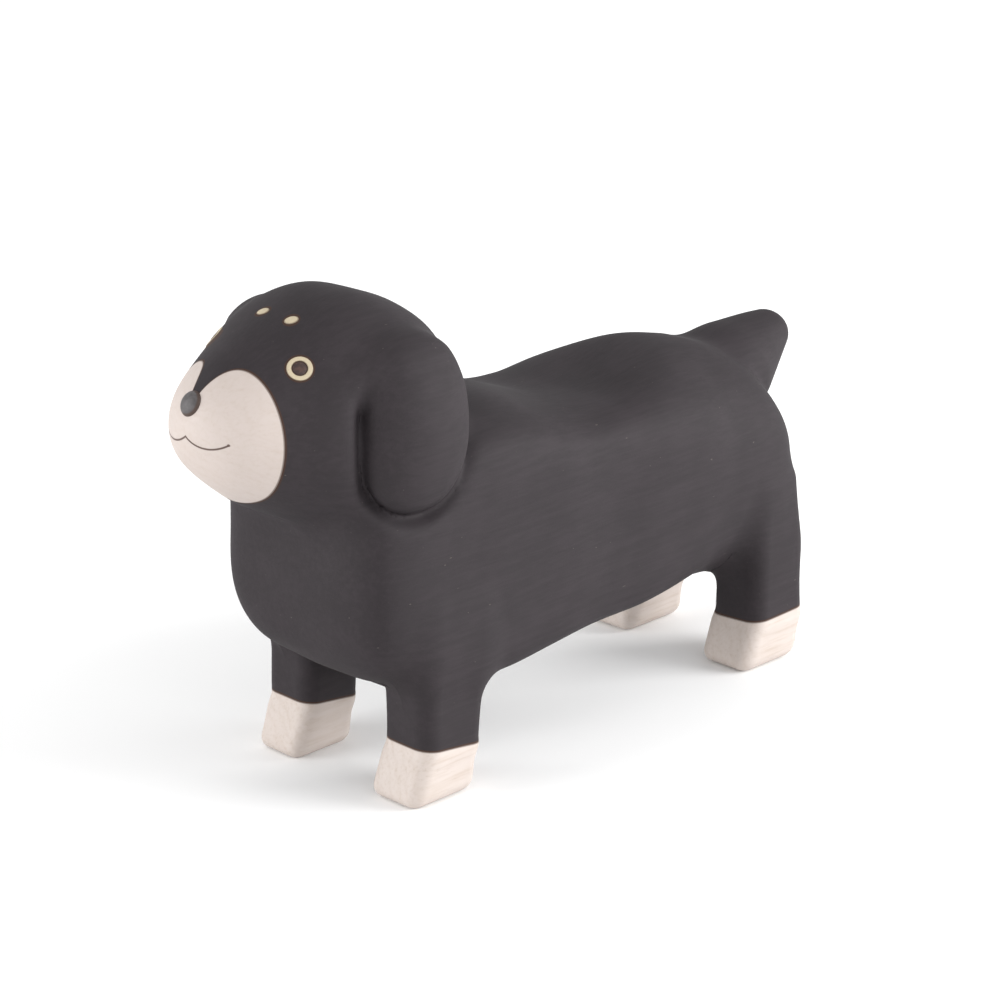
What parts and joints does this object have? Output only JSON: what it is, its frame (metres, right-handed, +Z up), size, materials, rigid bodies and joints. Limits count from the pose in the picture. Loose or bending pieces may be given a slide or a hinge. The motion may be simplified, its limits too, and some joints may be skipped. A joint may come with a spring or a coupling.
{
  "type": "wooden dog figurine",
  "caption": "Small standing dog carved in wood, painted matte charcoal, with bare wood muzzle and paws, hanging ears and a short tail.",
  "frame": {"origin": "on the floor under the middle of the figurine's overall box", "axes": "+Z up, the dog looks along -Y, its left side is +X"},
  "size_m": [0.0354, 0.1072, 0.0653],
  "materials": {
    "charcoal_paint": "matte charcoal paint brushed on carved wood",
    "bare_wood": "pale unpainted wood, sanded smooth",
    "nose_paint": "satin dark grey paint",
    "burnt_wood": "wood burnt dark brown",
    "dowel_birch": "plain birch dowel"
  },
  "bodies": {
    "root": {"torso": "charcoal_paint", "head": "charcoal_paint", "muzzle": "bare_wood", "nose": "nose_paint", "left_ear": "charcoal_paint", "right_ear": "charcoal_paint", "left_eye_ring": "bare_wood", "right_eye_ring": "bare_wood", "left_pupil": "burnt_wood", "right_pupil": "burnt_wood", "left_brow_spot": "bare_wood", "right_brow_spot": "bare_wood", "tail": "charcoal_paint", "front_left_leg": "charcoal_paint", "front_right_leg": "charcoal_paint", "rear_left_leg": "charcoal_paint", "rear_right_leg": "charcoal_paint", "front_left_paw": "bare_wood", "front_right_paw": "bare_wood", "rear_left_paw": "bare_wood", "rear_right_paw": "bare_wood", "neck_dowel": "dowel_birch", "tail_dowel": "dowel_birch", "front_left_dowel": "dowel_birch", "front_right_dowel": "dowel_birch", "rear_left_dowel": "dowel_birch", "rear_right_dowel": "dowel_birch"}
  },
  "joints": []
}
